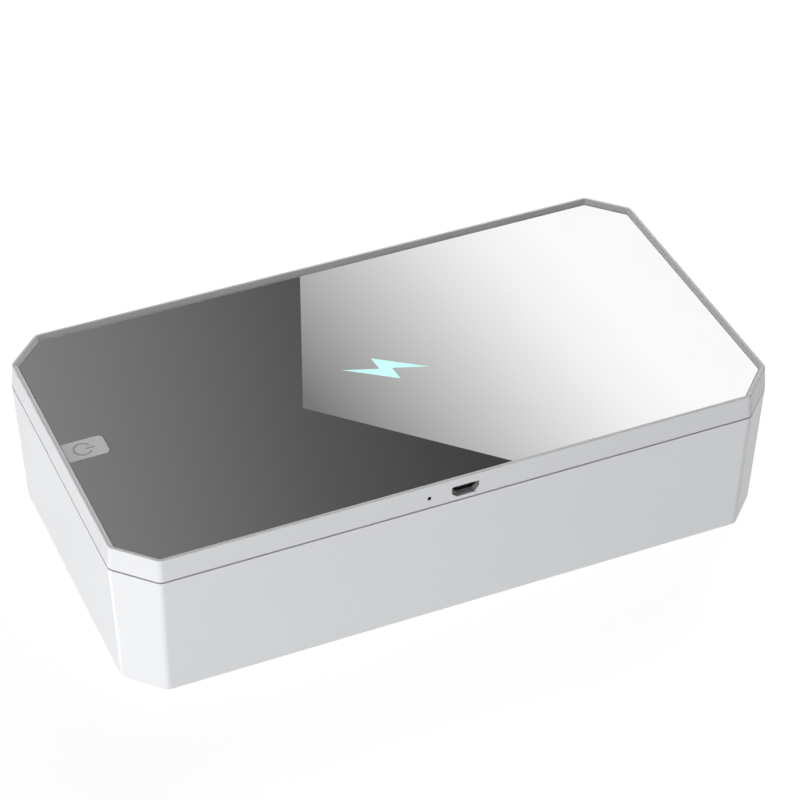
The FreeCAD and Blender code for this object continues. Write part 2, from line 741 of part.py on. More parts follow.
def lid_frame():
    body = new_body("lid_frame")
    edge = new_sketch(body, "XY_Plane", LID_EDGE)
    outline(edge, octagon("0", "0"))
    pad(body, edge, "lid_height")
    lean(body, "lid_lean", "lid_height", LID_EDGE, reverse=False)
    soften(body, "Fillet", "edge_round", upright)
    soften(body, "Fillet", "rim_round", at_height(LID_TOP))
    seat = new_sketch(body, "XY_Plane", LID_TOP)
    outline(seat, octagon(SEAT_INSET, SEAT_INSET))
    pocket(body, seat, f"{LID_TOP} - {DECK_TOP}")
    lip = new_sketch(body, "XY_Plane", LID_TOP)
    outline(lip, octagon(f"({SEAT_INSET} - rim_bevel)", f"({SEAT_INSET} - rim_bevel)"))
    ledge = new_sketch(body, "XY_Plane", MIRROR_TOP)
    outline(ledge, octagon(SEAT_INSET, SEAT_INSET))
    funnel(body, "Subtractive", lip, ledge)
    inside = new_sketch(body, "XY_Plane", LID_EDGE)
    outline(inside, octagon("shell_wall", "shell_wall"))
    pocket(body, inside, f"{DECK_UNDER} - {LID_EDGE}", reverse=True)
    rear_bevel(body, "lid_bevel_angle", up=True)
    for left in BASE_KNUCKLES:
        hinge_cut(
            body,
            f"{left} - knuckle_side_gap",
            "base_knuckle + 2 * knuckle_side_gap",
            "2 * (knuckle_radius + knuckle_gap)",
        )
    for left in LID_KNUCKLES:
        knuckle(body, left, "lid_knuckle", up=True)
        hinge_cut(body, left, "lid_knuckle", "(pin_size + 2 * pin_play)")
    bosses(body, COVER_SCREWS, DECK_UNDER, PAN_FLOOR, "(screw_size + 2 * boss_wall)", "cover_bite + screw_tip_gap")
    bosses(body, BOARD_SCREWS, DECK_UNDER, BOARD_TOP, "(screw_size + 2 * boss_wall)", "board_bite + screw_tip_gap")
    bosses(body, KEY_SCREWS, DECK_UNDER, KEY_BOARD_TOP, "(screw_size + 2 * boss_wall)", "key_bite + screw_tip_gap")
    recess = new_sketch(body, "XY_Plane", DECK_TOP)
    block_at(recess, "0", "0", "(guide_length + 2 * guide_gap)", "(guide_width + 2 * guide_gap)")
    pocket(body, recess, "guide_flange")
    holes(body, [("0", "0")], DECK_TOP, "lamp_hole", "deck_thick")
    passage = new_sketch(body, "XY_Plane", DECK_TOP)
    block_at(passage, f"-{STEM_X}", "0", "(stem_side + 2 * stem_gap)", "(stem_side + 2 * stem_gap)")
    pocket(body, passage, "deck_thick")
    port = new_sketch(body, "XZ_Plane", "box_width / 2")
    outline(port, usb_outline("(usb_flare + port_gap)"))
    disc(port, "-pinhole_x", PINHOLE_Z, "pinhole_size")
    pocket(body, port, "shell_wall")
    reach = number("usb_width / 2 + usb_flare + 2 * port_gap")
    wall = number("box_width / 2 - shell_wall") - 1e-4
    soften(
        body,
        "Fillet",
        "port_round",
        lambda item: along_y(item) and abs(item.BoundBox.Center.x) < reach and item.BoundBox.YMax < -wall,
    )
    socket_room = new_sketch(body, "XZ_Plane", "box_width / 2")
    outline(socket_room, usb_outline("usb_room"))
    pocket(body, socket_room, "usb_recess + usb_depth + usb_room")
    return body


def mirror_panel():
    body = new_body("mirror_panel")
    sheet = new_sketch(body, "XY_Plane", MIRROR_UNDER)
    outline(sheet, octagon(MIRROR_INSET, MIRROR_INSET))
    outline(sheet, bolt_outline())
    pad(body, sheet, "mirror_thick")
    notch = new_sketch(body, "XY_Plane", MIRROR_TOP)
    inboard = f"-({KEY_END} - key_length - key_gap)"
    rectangle(notch, "-box_length / 2", inboard, "-(key_width / 2 + key_gap)", "key_width / 2 + key_gap")
    pocket(body, notch, "mirror_thick")
    at_notch = number(inboard)
    half_width = number("key_width / 2 + key_gap")
    soften(
        body,
        "Fillet",
        "key_round + key_gap",
        lambda edge: upright(edge)
        and abs(edge.BoundBox.Center.x - at_notch) < 1e-4
        and abs(abs(edge.BoundBox.Center.y) - half_width) < 1e-4,
    )
    return body


def mirror_tape():
    body = new_body("mirror_tape")
    sheet = new_sketch(body, "XY_Plane", DECK_TOP)
    outline(sheet, octagon(f"({MIRROR_INSET} + tape_margin)", f"({MIRROR_INSET} + tape_margin)"))
    block_at(sheet, "0", "0", "(guide_length + 2 * tape_margin)", "(guide_width + 2 * tape_margin)")
    pad(body, sheet, "tape_thick")
    notch = new_sketch(body, "XY_Plane", MIRROR_UNDER)
    half_width = "(key_width / 2 + key_gap + tape_margin)"
    inboard = f"-({KEY_END} - key_length - key_gap - tape_margin)"
    rectangle(notch, "-box_length / 2", inboard, f"-{half_width}", half_width)
    pocket(body, notch, "tape_thick")
    return body


def bolt_light_guide():
    body = new_body("bolt_light_guide")
    flange = new_sketch(body, "XY_Plane", f"{DECK_TOP} - guide_flange")
    block_at(flange, "0", "0", "guide_length", "guide_width")
    pad(body, flange, f"{MIRROR_UNDER} - {DECK_TOP} + guide_flange")
    window = new_sketch(body, "XY_Plane", MIRROR_UNDER)
    outline(window, bolt_outline())
    pad(body, window, "mirror_thick")
    return body


def lid_inner_cover():
    body = new_body("lid_inner_cover")
    flange = new_sketch(body, "XY_Plane", FLANGE_UNDER)
    outline(flange, octagon(COVER_INSET, COVER_INSET))
    pad(body, flange, "cover_flange")
    pan = new_sketch(body, "XY_Plane", PAN_UNDER)
    outline(pan, octagon(PAN_INSET_X, PAN_INSET_Y))
    pad(body, pan, "pan_drop")
    inside = new_sketch(body, "XY_Plane", FLANGE_TOP)
    outline(inside, octagon(f"({PAN_INSET_X} + pan_wall)", f"({PAN_INSET_Y} + pan_wall)"))
    pocket(body, inside, f"{FLANGE_TOP} - {PAN_FLOOR}")
    posts = new_sketch(body, "XY_Plane", PAN_FLOOR)
    for x, y in LAMP_SCREWS:
        disc(posts, x, y, "(screw_size + 2 * boss_wall)")
    pad(body, posts, "lamp_post")
    holes(body, LAMP_SCREWS, LAMP_BOARD_UNDER, "(screw_size + 2 * screw_grip)", "lamp_bite + screw_tip_gap")
    holes(body, LAMPS, PAN_FLOOR, "(window_size + 2 * window_gap)", "window_thick")
    holes(body, LAMPS, PAN_FLOOR, "(window_size - 2 * window_ledge)", "pan_floor")
    holes(body, COVER_SCREWS, PAN_UNDER, "(screw_head + 2 * screw_pass)", "screw_head_height", reverse=True)
    holes(body, COVER_SCREWS, PAN_UNDER, SCREW_PASSAGE, "pan_floor", reverse=True)
    notches = new_sketch(body, "XY_Plane", FLANGE_TOP)
    for station in (f"-{HINGE_STATION}", HINGE_STATION):
        half = f"({STATION_HALF} + cover_notch_gap)"
        near = f"{HINGE_Y} - knuckle_radius - cover_notch_gap"
        rectangle(notches, f"{station} - {half}", f"{station} + {half}", near, "box_width / 2")
    pocket(body, notches, "cover_flange")
    return body


def cover_screws():
    return screws("cover_screws", COVER_SCREWS, COVER_SCREW_SEAT, "pan_floor - screw_head_height + cover_bite")


def main_board():
    body = new_body("main_board")
    plate = new_sketch(body, "XY_Plane", BOARD_UNDER)
    rectangle(plate, "-board_width / 2", "board_width / 2", f"-{BOARD_FRONT}", BOARD_REAR)
    for x, y in BOARD_SCREWS:
        disc(plate, x, y, SCREW_PASSAGE)
    pad(body, plate, "board_thick")
    return body


def board_screws():
    return screws("board_screws", BOARD_SCREWS, BOARD_UNDER, "board_thick + board_bite")


def board_chips():
    body = new_body("board_chips")
    chips = new_sketch(body, "XY_Plane", BOARD_TOP)
    block_at(chips, "0", f"-{CHIP_Y}", "chip_large", "chip_large")
    block_at(chips, "-chip_spread", f"-{CHIP_Y}", "chip_small", "chip_small")
    block_at(chips, "chip_spread", f"-{CHIP_Y}", "chip_small", "chip_small")
    pad(body, chips, "chip_height")
    return body


def hall_sensor():
    return block(
        "hall_sensor",
        f"-{HALL_X} - hall_length / 2",
        "-box_width / 2 + hall_inset - hall_width / 2",
        BOARD_TOP,
        "hall_length",
        "hall_width",
        "hall_height",
    )


def bolt_led():
    return block(
        "bolt_led",
        "-bolt_lamp_side / 2",
        "-bolt_lamp_side / 2",
        BOARD_TOP,
        "bolt_lamp_side",
        "bolt_lamp_side",
        "bolt_lamp_height",
    )


def status_led():
    return block(
        "status_led",
        "-pinhole_x - status_lamp_width / 2",
        f"-{BOARD_FRONT} + pipe_gap",
        BOARD_TOP,
        "status_lamp_width",
        "status_lamp_depth",
        "status_lamp_height",
    )


def status_light_pipe():
    body = new_body("status_light_pipe")
    end = new_sketch(body, "XZ_Plane", BOARD_FRONT)
    disc(end, "-pinhole_x", PINHOLE_Z, "(pinhole_size - 2 * pipe_gap)")
    pad(body, end, f"box_width / 2 - pipe_recess - {BOARD_FRONT}")
    return body


def usb_shell():
    """A folded tube whose lips flare at the mouth and lead the plug in."""
    body = new_body("usb_shell")
    lip_root = f"{USB_FRONT} - usb_flare_depth"
    tube = new_sketch(body, "XZ_Plane", lip_root)
    outline(tube, usb_outline("0"))
    outline(tube, usb_outline("(-usb_wall)"))
    pad(body, tube, "usb_depth - usb_flare_depth", reverse=True)
    for kind, grow in (("Additive", "0"), ("Subtractive", "(-usb_wall)")):
        start = new_sketch(body, "XZ_Plane", lip_root)
        outline(start, usb_outline(grow))
        end = new_sketch(body, "XZ_Plane", USB_FRONT)
        outline(end, usb_outline(f"({grow} + usb_flare)"))
        funnel(body, kind, start, end)
    return body


def usb_tongue():
    body = new_body("usb_tongue")
    back = new_sketch(body, "XZ_Plane", f"{USB_FRONT} - usb_depth")
    roof = f"{PORT_Z} + usb_height / 2 - usb_wall - tongue_fit"
    floor = f"{PORT_Z} - usb_height / 2 + usb_wall + tongue_fit"
    rectangle(back, "-tongue_root_width / 2", "tongue_root_width / 2", floor, roof)
    pad(body, back, "tongue_root")
    blade = new_sketch(body, "XZ_Plane", f"{USB_FRONT} - usb_depth")
    rectangle(
        blade,
        "-tongue_width / 2",
        "tongue_width / 2",
        f"{roof} - tongue_drop - tongue_thick",
        f"{roof} - tongue_drop",
    )
    pad(body, blade, "tongue_root + tongue_length")
    return body


def usb_contacts():
    body = new_body("usb_contacts")
    strips = new_sketch(body, "XZ_Plane", f"{USB_FRONT} - usb_depth + tongue_root")
    under = f"{PORT_Z} + usb_height / 2 - usb_wall - tongue_fit - tongue_drop - tongue_thick"
    for count in range(-2, 3):
        middle = f"({count} * contact_pitch)"
        rectangle(
            strips,
            f"{middle} - contact_width / 2",
            f"{middle} + contact_width / 2",
            f"{under} - contact_thick",
            under,
        )
    pad(body, strips, "contact_length")
    return body


def charge_coil():
    """Flat spiral of half turns, each half a pitch wider than the one before."""
    half_turns = int(2 * number("coil_turns"))
    pitch = number("coil_pitch")
    height = number(f"{FERRITE_TOP} + coil_wire / 2")
    upward = FreeCAD.Vector(0, 0, 1)
    arcs = []
    for count in range(half_turns):
        radius = number("coil_bore") + count * pitch / 2
        shift = pitch / 4 if count % 2 == 0 else -pitch / 4
        circle = Part.Circle(FreeCAD.Vector(shift, 0, height), upward, radius)
        start = math.pi * (count % 2)
        arcs.append(Part.ArcOfCircle(circle, start, start + math.pi).toShape())
    path = Part.Wire(arcs)
    start_point = FreeCAD.Vector(number("coil_bore") + pitch / 4, 0, height)
    section = Part.Circle(start_point, FreeCAD.Vector(0, 1, 0), number("coil_wire / 2")).toShape()
    coil = doc.addObject("Part::Feature", "charge_coil")
    coil.Label = "charge_coil"
    coil.Shape = path.makePipeShell([Part.Wire([section])], True, False)
    print(f"gap between coil turns: {pitch - number('coil_wire'):.2f} mm")
    return coil


def ferrite_plate():
    body = new_body("ferrite_plate")
    plate = new_sketch(body, "XY_Plane", BOARD_TOP)
    block_at(plate, "0", "0", FERRITE_SIDE, FERRITE_SIDE)
    disc(plate, "0", "0", "ferrite_hole")
    pad(body, plate, "ferrite_thick")
    return body


def key_board():
    body = new_body("key_board")
    plate = new_sketch(body, "XY_Plane", KEY_BOARD_UNDER)
    end = f"-{KEY_BOARD_END}"
    rectangle(plate, end, f"{end} + key_board_length", "-key_board_width / 2", "key_board_width / 2")
    for x, y in KEY_SCREWS:
        disc(plate, x, y, SCREW_PASSAGE)
    pad(body, plate, "board_thick")
    return body


def key_board_screws():
    return screws("key_board_screws", KEY_SCREWS, KEY_BOARD_UNDER, "board_thick + key_bite")


def tact_switch():
    body = new_body("tact_switch")
    case = new_sketch(body, "XY_Plane", KEY_BOARD_TOP)
    block_at(case, f"-{STEM_X}", "0", "switch_side", "switch_side")
    pad(body, case, "switch_height")
    well = "plunger_deep + key_travel + plunger_gap"
    holes(body, [(f"-{STEM_X}", "0")], SWITCH_TOP, "(plunger_size + 2 * plunger_gap)", well)
    return body


def switch_plunger():
    body = new_body("switch_plunger")
    stick = new_sketch(body, "XY_Plane", f"{SWITCH_TOP} - plunger_deep")
    disc(stick, f"-{STEM_X}", "0", "plunger_size")
    pad(body, stick, "plunger_deep + plunger_show")
    return body


def power_key():
    body = new_body("power_key")
    plate = new_sketch(body, "XY_Plane", MIRROR_TOP)
    inboard = f"-({KEY_END} - key_length)"
    rectangle(plate, f"-{KEY_END}", inboard, "-key_width / 2", "key_width / 2")
    pad(body, plate, "key_thick", reverse=True)
    at_end = number(inboard)
    soften(
        body,
        "Fillet",
        "key_round",
        lambda edge: upright(edge) and abs(edge.BoundBox.Center.x - at_end) < 1e-4,
    )
    stem = new_sketch(body, "XY_Plane", STEM_END)
    block_at(stem, f"-{STEM_X}", "0", "stem_side", "stem_side")
    pad(body, stem, f"{MIRROR_TOP} - key_thick - {STEM_END}")
    hooks = new_sketch(body, "XY_Plane", STEM_END)
    block_at(hooks, f"-{STEM_X}", "0", "stem_side", "(stem_side + 2 * hook_reach)")
    pad(body, hooks, "hook_thick")
    symbol = new_sketch(body, "XY_Plane", MIRROR_TOP)
    power_ring(symbol)
    pocket(body, symbol, "symbol_depth")
    bar = new_sketch(body, "XY_Plane", MIRROR_TOP)
    centre = f"-({STEM_X} + symbol_shift)"
    rectangle(bar, f"{centre} + symbol_bar_in", f"{centre} + symbol_bar_out", "-symbol_line / 2", "symbol_line / 2")
    pocket(body, bar, "symbol_depth")
    return body


def power_ring(sketch):
    """The open ring of the power symbol, whose gap faces inboard."""
    centre_x = f"-({STEM_X} + symbol_shift)"
    centre = FreeCAD.Vector(number(centre_x), 0, 0)
    opening = math.radians(number("symbol_open"))
    rings = []
    for size in ("symbol_radius + symbol_line / 2", "symbol_radius - symbol_line / 2"):
        circle = Part.Circle(centre, FreeCAD.Vector(0, 0, 1), number(size))
        ring = sketch.addGeometry(Part.ArcOfCircle(circle, opening, 2 * math.pi - opening))
        hold_point(sketch, ring, 3, centre_x, "0")
        limit(sketch, "Radius", ring, size=size)
        limit(sketch, "DistanceX", -1, 1, ring, 1, size=f"{centre_x} + ({size}) * cos(symbol_open)")
        limit(sketch, "DistanceX", -1, 1, ring, 2, size=f"{centre_x} + ({size}) * cos(symbol_open)")
        rings.append(ring)
    outer, inner = rings
    for end in (1, 2):
        start_point = sketch.getPoint(outer, end)
        end_point = sketch.getPoint(inner, end)
        cap = sketch.addGeometry(Part.LineSegment(start_point, end_point))
        sketch.addConstraint(Sketcher.Constraint("Coincident", cap, 1, outer, end))
        sketch.addConstraint(Sketcher.Constraint("Coincident", cap, 2, inner, end))


def key_lead():
    lead = doc.addObject("Part::Cylinder", "key_lead")
    lead.Label = "key_lead"
    start = f"-({KEY_BOARD_END} - key_board_length) - lead_lap"
    lead.Placement.Rotation = FreeCAD.Rotation(FreeCAD.Vector(0, 1, 0), 90)
    lead.setExpression("Placement.Base.x", formula(start))
    lead.setExpression("Placement.Base.y", formula("-lead_y"))
    lead.setExpression("Placement.Base.z", formula(f"{KEY_BOARD_TOP} + lead_size / 2"))
    lead.setExpression("Radius", formula("lead_size / 2"))
    lead.setExpression("Height", formula(f"-board_width / 2 - ({start})"))
    return lead


def lamp_board(label, side):
    body = new_body(label)
    plate = new_sketch(body, "XY_Plane", LAMP_BOARD_UNDER)
    middle = f"{side}{LAMP_BOARD_Y}"
    block_at(plate, "0", middle, LAMP_BOARD_LENGTH, "lamp_board_width")
    for x in (f"-{LAMP_SCREW_X}", LAMP_SCREW_X):
        disc(plate, x, middle, SCREW_PASSAGE)
    pad(body, plate, "board_thick")
    return body


def uv_board_screws():
    return screws("uv_board_screws", LAMP_SCREWS, LAMP_BOARD_TOP, "board_thick + lamp_bite", head_down=False)


def uv_leds():
    body = new_body("uv_leds")
    lamps = new_sketch(body, "XY_Plane", LAMP_BOARD_UNDER)
    for x, y in LAMPS:
        block_at(lamps, x, y, "lamp_side", "lamp_side")
    pad(body, lamps, "lamp_height", reverse=True)
    return body


def uv_windows():
    body = new_body("uv_windows")
    panes = new_sketch(body, "XY_Plane", PAN_FLOOR)
    for x, y in LAMPS:
        disc(panes, x, y, "window_size")
    pad(body, panes, "window_thick", reverse=True)
    return body


def board_link_pins():
    body = new_body("board_link_pins")
    pins = new_sketch(body, "XY_Plane", LAMP_BOARD_TOP)
    for x, y in both_ways("link_x", LAMP_BOARD_Y):
        disc(pins, x, y, "link_pin")
    pad(body, pins, f"{BOARD_UNDER} - {LAMP_BOARD_TOP}")
    return body


def lid_magnets():
    body = new_body("lid_magnets")
    bars = new_sketch(body, "XY_Plane", FLANGE_TOP)
    front = "-(box_width / 2 - lid_magnet_inset)"
    for x in (f"-{MAGNET_X}", MAGNET_X):
        rectangle(bars, f"{x} - magnet_length / 2", f"{x} + magnet_length / 2", front, f"{front} + magnet_width")
    pad(body, bars, "magnet_thick")
    return body


parts = [
    base_shell(),
    inner_tray(),
    rim_seal(),
    base_magnets(),
    interlock_magnet(),
    tray_screws(),
    rubber_feet(),
    hinge_pin("hinge_pin_left", f"-{HINGE_STATION}"),
    hinge_pin("hinge_pin_right", HINGE_STATION),
    lid_frame(),
    mirror_panel(),
    mirror_tape(),
    bolt_light_guide(),
    lid_inner_cover(),
    cover_screws(),
    main_board(),
    board_screws(),
    board_chips(),
    hall_sensor(),
    bolt_led(),
    status_led(),
    status_light_pipe(),
    usb_shell(),
    usb_tongue(),
    usb_contacts(),
    charge_coil(),
    ferrite_plate(),
    key_board(),
    key_board_screws(),
    tact_switch(),
    switch_plunger(),
    power_key(),
    key_lead(),
    lamp_board("uv_board_front", "-"),
    lamp_board("uv_board_rear", ""),
    uv_board_screws(),
    uv_leds(),
    uv_windows(),
    board_link_pins(),
    lid_magnets(),
]
doc.recompute()

for item in doc.Objects:
    if "Invalid" in item.State or "Error" in item.State:
        raise RuntimeError(f"{item.Label} did not build: {item.State}")
for part in parts:
    if part.Shape.isNull() or not part.Shape.isValid():
        raise RuntimeError(f"{part.Label} has no sound shape")

os.makedirs("parts", exist_ok=True)
for part in parts:
    part.Shape.exportStep(f"parts/{part.Label}.step")
    box = part.Shape.BoundBox
    print(
        f"{part.Label}: {len(part.Shape.Solids)} solid(s), {part.Shape.Volume:.1f} mm3, "
        f"x {box.XMin:.2f} to {box.XMax:.2f}, y {box.YMin:.2f} to {box.YMax:.2f}, z {box.ZMin:.2f} to {box.ZMax:.2f}"
    )
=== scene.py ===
# %% [markdown]
# # A sanitizer box with a mirror lid
# The object is a shallow white box with cut corners. Its hinged lid is a
# moulded frame that holds a sheet of mirror, with a lit charging bolt in the
# middle and one key at the left end. All its solids come from a imported CAD model, so this lesson is about
# what Blender adds: the camera, the studio, a finish for every piece, and a few thin details: plated pads,
# small dies, and a grey fill in the key's groove whose colour is painted shade.

import math

import bmesh
import bpy
from mathutils import Matrix, Quaternion, Vector


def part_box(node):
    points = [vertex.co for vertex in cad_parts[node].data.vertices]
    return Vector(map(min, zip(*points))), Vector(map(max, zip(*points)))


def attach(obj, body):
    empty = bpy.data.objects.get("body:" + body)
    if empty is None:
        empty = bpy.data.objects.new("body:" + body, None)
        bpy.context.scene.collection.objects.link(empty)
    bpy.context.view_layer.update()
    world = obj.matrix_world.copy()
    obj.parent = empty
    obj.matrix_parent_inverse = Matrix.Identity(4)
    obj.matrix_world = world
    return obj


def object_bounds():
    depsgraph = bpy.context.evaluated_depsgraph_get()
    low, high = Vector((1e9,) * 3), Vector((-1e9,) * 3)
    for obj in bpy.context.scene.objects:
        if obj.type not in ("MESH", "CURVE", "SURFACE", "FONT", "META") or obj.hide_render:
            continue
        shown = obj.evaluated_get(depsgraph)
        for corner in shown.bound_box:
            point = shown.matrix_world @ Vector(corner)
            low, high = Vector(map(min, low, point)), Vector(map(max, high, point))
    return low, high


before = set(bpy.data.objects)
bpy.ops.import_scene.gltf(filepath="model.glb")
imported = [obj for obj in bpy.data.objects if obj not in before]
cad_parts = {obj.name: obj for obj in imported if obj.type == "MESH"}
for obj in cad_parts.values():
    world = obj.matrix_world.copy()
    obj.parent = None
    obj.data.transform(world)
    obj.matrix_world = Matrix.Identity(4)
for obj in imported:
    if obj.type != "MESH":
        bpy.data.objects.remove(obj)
cad_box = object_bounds()
MM = 0.001
print("CAD box in mm:", [round(side / MM, 2) for side in cad_box[1] - cad_box[0]])

# %% [markdown]
# ## The camera
# The photograph was taken from the front left, well above the lid, through a
# long lens, so the box's edges stay almost parallel. The place and the lens
# were found by fitting the corners of the CAD box to the corners in the
# picture. A camera needs a place, a point to look at and a focal length. A
# track quaternion turns it there and keeps it level, and a second small turn
# about its own axis gives the slight lean that the fit found.

# %% Camera at the photograph's viewing angle
PICTURE = 800  # pixels along each side of the picture
SENSOR = 36.0  # mm
LENS = 130.0  # mm
TILT = 0.41  # degrees that the camera leans about its own line of view
camera_place = Vector((-284.12, -656.31, 619.20)) * MM
camera_aim = Vector((9.44, 12.52, 27.5)) * MM

camera_data = bpy.data.cameras.new("product_camera")
camera_data.lens = LENS
camera_data.sensor_width = SENSOR
camera_data.clip_start = 0.01
camera = bpy.data.objects.new("product_camera", camera_data)
camera.location = camera_place
view_line = (camera_aim - camera_place).normalized()
level = view_line.to_track_quat("-Z", "Y")
camera.rotation_euler = (level @ Quaternion((0, 0, 1), math.radians(TILT))).to_euler()
bpy.context.scene.collection.objects.link(camera)
bpy.context.scene.camera = camera
bpy.context.scene.view_settings.view_transform = "Standard"
print("camera to aim point:", round((camera_aim - camera_place).length, 3), "m")

# %% [markdown]
# ## Two helpers for every material
# Colours are written as sRGB hex values, as a paint chart would give them, and
# Blender's sockets want linear light, so one function converts them. A second
# one adds a node, fills in its options and sockets, and links its inputs. A
# number in place of a socket's name picks the socket by its order, for nodes
# that use one name several times.

# %% Colour and node helpers
def linear(colour):
    """An sRGB hex colour as the linear RGBA that a socket takes."""
    parts = [int(colour[i:i + 2], 16) / 255 for i in (1, 3, 5)]
    light = [c / 12.92 if c <= 0.04045 else ((c + 0.055) / 1.055) ** 2.4 for c in parts]
    return [*light, 1.0]


def add_node(tree, kind, settings=None, links=None):
    """A new node with its options and sockets set and its inputs linked."""
    node = tree.nodes.new("ShaderNode" + kind)
    for name, value in (settings or {}).items():
        if isinstance(name, str) and hasattr(node, name):
            setattr(node, name, value)
        else:
            node.inputs[name].default_value = value
    for name, output in (links or {}).items():
        tree.links.new(output, node.inputs[name])
    return node


print("white #F1F2F4 in linear light:", [round(c, 3) for c in linear("#F1F2F4")])

# %% [markdown]
# ## The studio: white sweep and pale floor
# The box stands on white with almost no shadow. A floor that is simply lit to
# white would need so much light that the box itself burns out. So the camera,
# mirrors and glass see a floor that glows a little and only keeps a faint
# shadow. Diffuse rays pass through it to the world below, which stands for the
# light that a wide white sweep throws back up the box's sides. From below the
# floor is clear, so that the feet can be looked at.

# %% Floor
FLOOR_HALF = 4.0  # m
FLOOR_GLOW = 0.92  # just under white, so that the shadow still shows
floor_mesh = bpy.data.meshes.new("sweep_floor")
floor_mesh.from_pydata(
    [(x * FLOOR_HALF, y * FLOOR_HALF, 0) for x, y in ((-1, -1), (1, -1), (1, 1), (-1, 1))],
    [], [(0, 1, 2, 3)])
floor = bpy.data.objects.new("sweep_floor", floor_mesh)
floor.visible_diffuse = floor.visible_shadow = False
bpy.context.scene.collection.objects.link(floor)

sweep_board = bpy.data.materials.new("matt white sweep board")
sweep_board.use_nodes = True
tree = sweep_board.node_tree
tree.nodes.clear()
faint = add_node(tree, "BsdfDiffuse", {"Color": linear("#7C7C7C")})
glow = add_node(tree, "Emission", {"Strength": FLOOR_GLOW})
lit = add_node(tree, "AddShader", {}, {0: faint.outputs[0], 1: glow.outputs[0]})
side = add_node(tree, "NewGeometry")
clear = add_node(tree, "BsdfTransparent")
mixed = add_node(tree, "MixShader", {},
                 {0: side.outputs["Backfacing"], 1: lit.outputs[0], 2: clear.outputs[0]})
add_node(tree, "OutputMaterial", {}, {"Surface": mixed.outputs[0]})
floor_mesh.materials.append(sweep_board)
print("floor:", 2 * FLOOR_HALF, "m square")

# %% [markdown]
# ## The studio: surroundings
# Three kinds of ray ask the world for a colour. The camera and clear windows
# get plain white, which is the background. Shiny surfaces get white at the
# horizon that darkens towards the ceiling, as a studio does above its lamps.
# Without that, a mirror would be as blank as paper from every other side.
# Diffuse rays get the sweep's light from below and a dimmer room from above.
# Behind the box the sweep curves up and catches more light, so it is brighter
# there, which lifts the two sides that the lamps don't reach.

# %% World
SWEEP_LIGHT, SWEEP_BEHIND, ROOM_LIGHT = 0.39, 1.25, 0.01
TOWARDS_CURVE = (0.7, 0.7, 0.0)
HORIZON = 0.05  # half the height over which the sweep fades into the room
CEILING = ((0.0, "#FFFFFF"), (0.3, "#F0F0F1"), (0.62, "#9B9C9D"), (1.0, "#6A6B6C"))
world = bpy.data.worlds.new("white studio")
bpy.context.scene.world = world
world.use_nodes = True
tree = world.node_tree
tree.nodes.clear()
path = add_node(tree, "LightPath")
place = add_node(tree, "TexCoord")
height = add_node(tree, "SeparateXYZ", {}, {0: place.outputs["Generated"]})
ceiling = add_node(tree, "ValToRGB", {}, {0: height.outputs["Z"]})
while len(ceiling.color_ramp.elements) < len(CEILING):
    ceiling.color_ramp.elements.new(0.5)
for element, (share, colour) in zip(ceiling.color_ramp.elements, CEILING):
    element.position, element.color = share, linear(colour)
rear = add_node(tree, "VectorMath", {"operation": "DOT_PRODUCT", 1: TOWARDS_CURVE},
                {0: place.outputs["Generated"]})
sweep = add_node(tree, "MapRange", {"To Min": SWEEP_LIGHT, "To Max": SWEEP_BEHIND},
                 {"Value": rear.outputs["Value"]})
fill = add_node(tree, "MapRange", {"From Min": -HORIZON, "From Max": HORIZON, "To Max": ROOM_LIGHT},
                {"Value": height.outputs["Z"], "To Min": sweep.outputs[0]})
even_fill = add_node(tree, "Background", {"Color": linear("#FDFEFF")}, {"Strength": fill.outputs[0]})
in_gloss = add_node(tree, "Background", {}, {"Color": ceiling.outputs[0]})
behind = add_node(tree, "Background", {"Color": linear("#FFFFFF"), "Strength": 1.0})
soft = add_node(tree, "MixShader", {},
                {0: path.outputs["Is Glossy Ray"], 1: even_fill.outputs[0],
                 2: in_gloss.outputs[0]})
clear = add_node(tree, "Math", {"operation": "MAXIMUM"},
                 {0: path.outputs["Is Camera Ray"], 1: path.outputs["Is Transmission Ray"]})
whole = add_node(tree, "MixShader", {},
                 {0: clear.outputs[0], 1: soft.outputs[0], 2: behind.outputs[0]})
add_node(tree, "OutputWorld", {}, {"Surface": whole.outputs[0]})
print("sweep, curve and room light:", SWEEP_LIGHT, SWEEP_BEHIND, ROOM_LIGHT)

# %% [markdown]
# ## The studio: softboxes
# In the picture the cut corner at the front left is the brightest face, the
# left end comes next, the front is greyer and the top of the rim is greyest.
# So the main light stands low at the left front. Two weaker ones, off the left
# end and above the front, also catch the rim's inner bevels across the mirror.
# A fourth hangs behind at the right, where the mirror sees white, and lights
# the rim's top. Area lamps suit this, because their size softens a shadow. The
# weaker ones are kept out of reflections, where they would glare on the rim. A
# small strip low at the left shows in reflections alone, and draws the fine
# bright line along the upright edge beside the cut corner.

